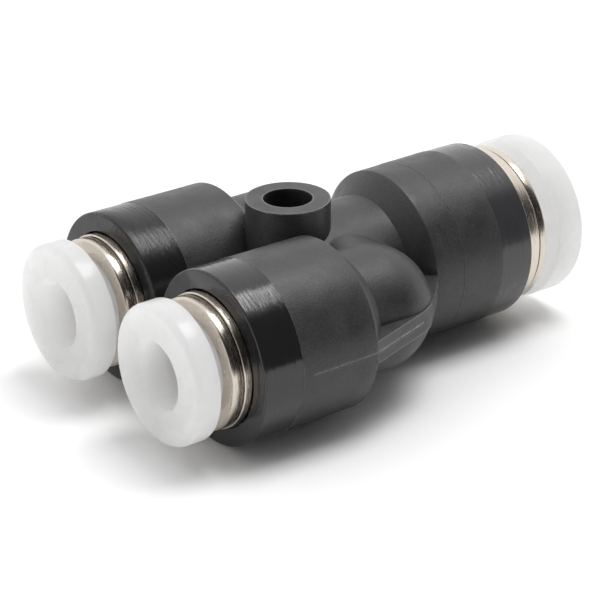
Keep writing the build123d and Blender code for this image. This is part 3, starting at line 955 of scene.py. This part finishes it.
# Azimuth from X and height of the room's dark sides, in degrees
DARK_SIDES = ((-62, 24), (-128, 28))
# Degrees from a dark side's middle where it begins and where it is darkest, and what is left there
DARK_BEGINS, DARK_FULL = 42, 30
DARK_LEVEL = 0.03

# Name, azimuth and height in degrees, width and depth in metres, power in watts, and whether gloss
# shows it
LAMPS = (
    ("soft_box", -12, 73, 0.22, 0.27, 1.29, True),
    ("right_strip", -75, 4, 0.5, 0.05, 0.27, False),
    ("left_strip", 175, 4, 0.5, 0.05, 0.70, False),
)
LAMP_DISTANCE = 0.5

# Camera: lens, sensor and nearest distance, then its own right and up, and its place in millimetres
LENS_MM = 147.707
SENSOR_MM = 36
NEAREST = 0.01
CAMERA_RIGHT = (0.799477, -0.600633, -0.008763)
CAMERA_UP = (0.256130, 0.327656, 0.909417)
CAMERA_PLACE_MM = (-83.9735, -113.8785, 63.7560)


def direction(azimuth, height):
    """Direction of length 1, from an azimuth from X and a height in degrees."""
    level = cos(radians(height))
    return cos(radians(azimuth)) * level, sin(radians(azimuth)) * level, sin(radians(height))


def lay_floor(colours):
    """White sheet that carries the small barrels near their mouths, and the large one's front edge."""
    mesh = bmesh.new()
    bmesh.ops.create_grid(mesh, x_segments=1, y_segments=1, size=1)
    for vert in mesh.verts:
        vert.co.x *= SHEET_HALF_LENGTH
        vert.co.y = SHEET_FAR_EDGE if vert.co.y > 0 else SHEET_NEAR_EDGE
        vert.co.z = SHEET_TOUCH_Z + SHEET_SLOPE * (vert.co.x - SHEET_TOUCH_X)
    floor = new_object("floor", mesh)
    mesh.free()
    material, tree, output = new_material("white_sheet")
    sheet = add_node(tree, "ShaderNodeBsdfDiffuse", {"Color": rgba(colours.paper)})
    tree.links.new(sheet.outputs[0], output.inputs[0])
    floor.data.materials.append(material)


def light_room():
    """A bright wall behind, a dimmer room in front with dark sides, and white for the camera."""
    world = bpy.data.worlds.new("studio")
    bpy.context.scene.world = world
    world.use_nodes = True
    tree = world.node_tree
    tree.nodes.clear()
    output = tree.nodes.new("ShaderNodeOutputWorld")
    place = add_node(tree, "ShaderNodeTexCoord")
    depth = add_node(tree, "ShaderNodeVectorMath", {
        0: place.outputs["Generated"], 1: direction(BRIGHT_WALL, 0)}, operation="DOT_PRODUCT")
    walls = add_node(tree, "ShaderNodeMapRange", {
        "Value": depth.outputs["Value"], "From Min": 0.0, "From Max": WALL_FULL,
        "To Min": ROOM_LEVEL, "To Max": WALL_LEVEL}, interpolation_type="SMOOTHSTEP")
    room = walls.outputs["Result"]
    for azimuth, height in DARK_SIDES:
        facing = add_node(tree, "ShaderNodeVectorMath", {
            0: place.outputs["Generated"], 1: direction(azimuth, height)}, operation="DOT_PRODUCT")
        side = add_node(tree, "ShaderNodeMapRange", {
            "Value": facing.outputs["Value"], "From Min": cos(radians(DARK_BEGINS)),
            "From Max": cos(radians(DARK_FULL)), "To Min": 1.0, "To Max": DARK_LEVEL},
            interpolation_type="SMOOTHSTEP")
        room = add_node(tree, "ShaderNodeMath", {
            0: room, 1: side.outputs["Result"]}, operation="MULTIPLY").outputs["Value"]
    path = add_node(tree, "ShaderNodeLightPath")
    level = add_node(tree, "ShaderNodeMix", {
        0: path.outputs["Is Camera Ray"], 2: room, 3: 1.0}, data_type="FLOAT")
    glow = add_node(tree, "ShaderNodeBackground", {"Color": (1, 1, 1, 1), "Strength": level.outputs[0]})
    tree.links.new(glow.outputs[0], output.inputs[0])


def place_lamps():
    """One soft box overhead, and two low strips that fill the sides."""
    for name, azimuth, height, width, depth, power, in_gloss in LAMPS:
        toward = Vector(direction(azimuth, height))
        lamp = bpy.data.lights.new(name, "AREA")
        lamp.shape = "RECTANGLE"
        lamp.size = width
        lamp.size_y = depth
        lamp.energy = power
        box = bpy.data.objects.new(name, lamp)
        box.visible_glossy = in_gloss
        turn = toward.to_track_quat("Z", "Y").to_matrix().to_4x4()
        box.matrix_world = Matrix.Translation(toward * LAMP_DISTANCE) @ turn
        bpy.context.scene.collection.objects.link(box)


def place_camera():
    """Camera at the angle and distance of the reference picture."""
    lens = bpy.data.cameras.new("camera")
    lens.lens = LENS_MM
    lens.sensor_width = SENSOR_MM
    lens.clip_start = NEAREST
    right = Vector(CAMERA_RIGHT)
    up = Vector(CAMERA_UP)
    back = right.cross(up)
    camera = bpy.data.objects.new("camera", lens)
    turn = Matrix((right, up, back)).transposed().to_4x4()
    camera.matrix_world = Matrix.Translation(Vector(CAMERA_PLACE_MM) * MM) @ turn
    bpy.context.scene.collection.objects.link(camera)
    bpy.context.scene.camera = camera


# ---------------------------------------------------------------- panel


class FITTING_PT_panel(bpy.types.Panel):
    """Sizes, colours and building steps of the fitting"""
    bl_idname = "FITTING_PT_panel"
    bl_label = "Push-in fitting"
    bl_space_type = "VIEW_3D"
    bl_region_type = "UI"
    bl_category = "Fitting"

    def draw(self, context):
        for group in (getattr(context.scene, name) for name in GROUPS):
            box = self.layout.box()
            box.label(text=group.bl_rna.name)
            for name in group.__annotations__:
                box.prop(group, name)
        for operator in OPERATORS:
            self.layout.operator(operator.bl_idname)


OPERATORS = (
    FITTING_OT_body,
    FITTING_OT_release_rings,
    FITTING_OT_guide_sleeves,
    FITTING_OT_lock_claws,
    FITTING_OT_back_rings,
    FITTING_OT_seals,
    FITTING_OT_stage,
)
GROUPS = {
    "fitting_sizes": FittingSizes,
    "fitting_small_port": SmallPortSizes,
    "fitting_large_port": LargePortSizes,
    "fitting_colours": FittingColours,
}


def register():
    """Register the classes, and hang the property groups on the scene."""
    for one in (*GROUPS.values(), *OPERATORS, FITTING_PT_panel):
        bpy.utils.register_class(one)
    for name, group in GROUPS.items():
        setattr(bpy.types.Scene, name, PointerProperty(type=group))


def unregister():
    """Undo register."""
    for name in GROUPS:
        delattr(bpy.types.Scene, name)
    for one in (FITTING_PT_panel, *reversed(OPERATORS), *GROUPS.values()):
        bpy.utils.unregister_class(one)


def main():
    """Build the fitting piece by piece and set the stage."""
    register()
    bpy.ops.fitting.body()
    bpy.ops.fitting.release_rings()
    bpy.ops.fitting.guide_sleeves()
    bpy.ops.fitting.lock_claws()
    bpy.ops.fitting.back_rings()
    bpy.ops.fitting.seals()
    bpy.ops.fitting.stage()


if __name__ == "__main__":
    main()
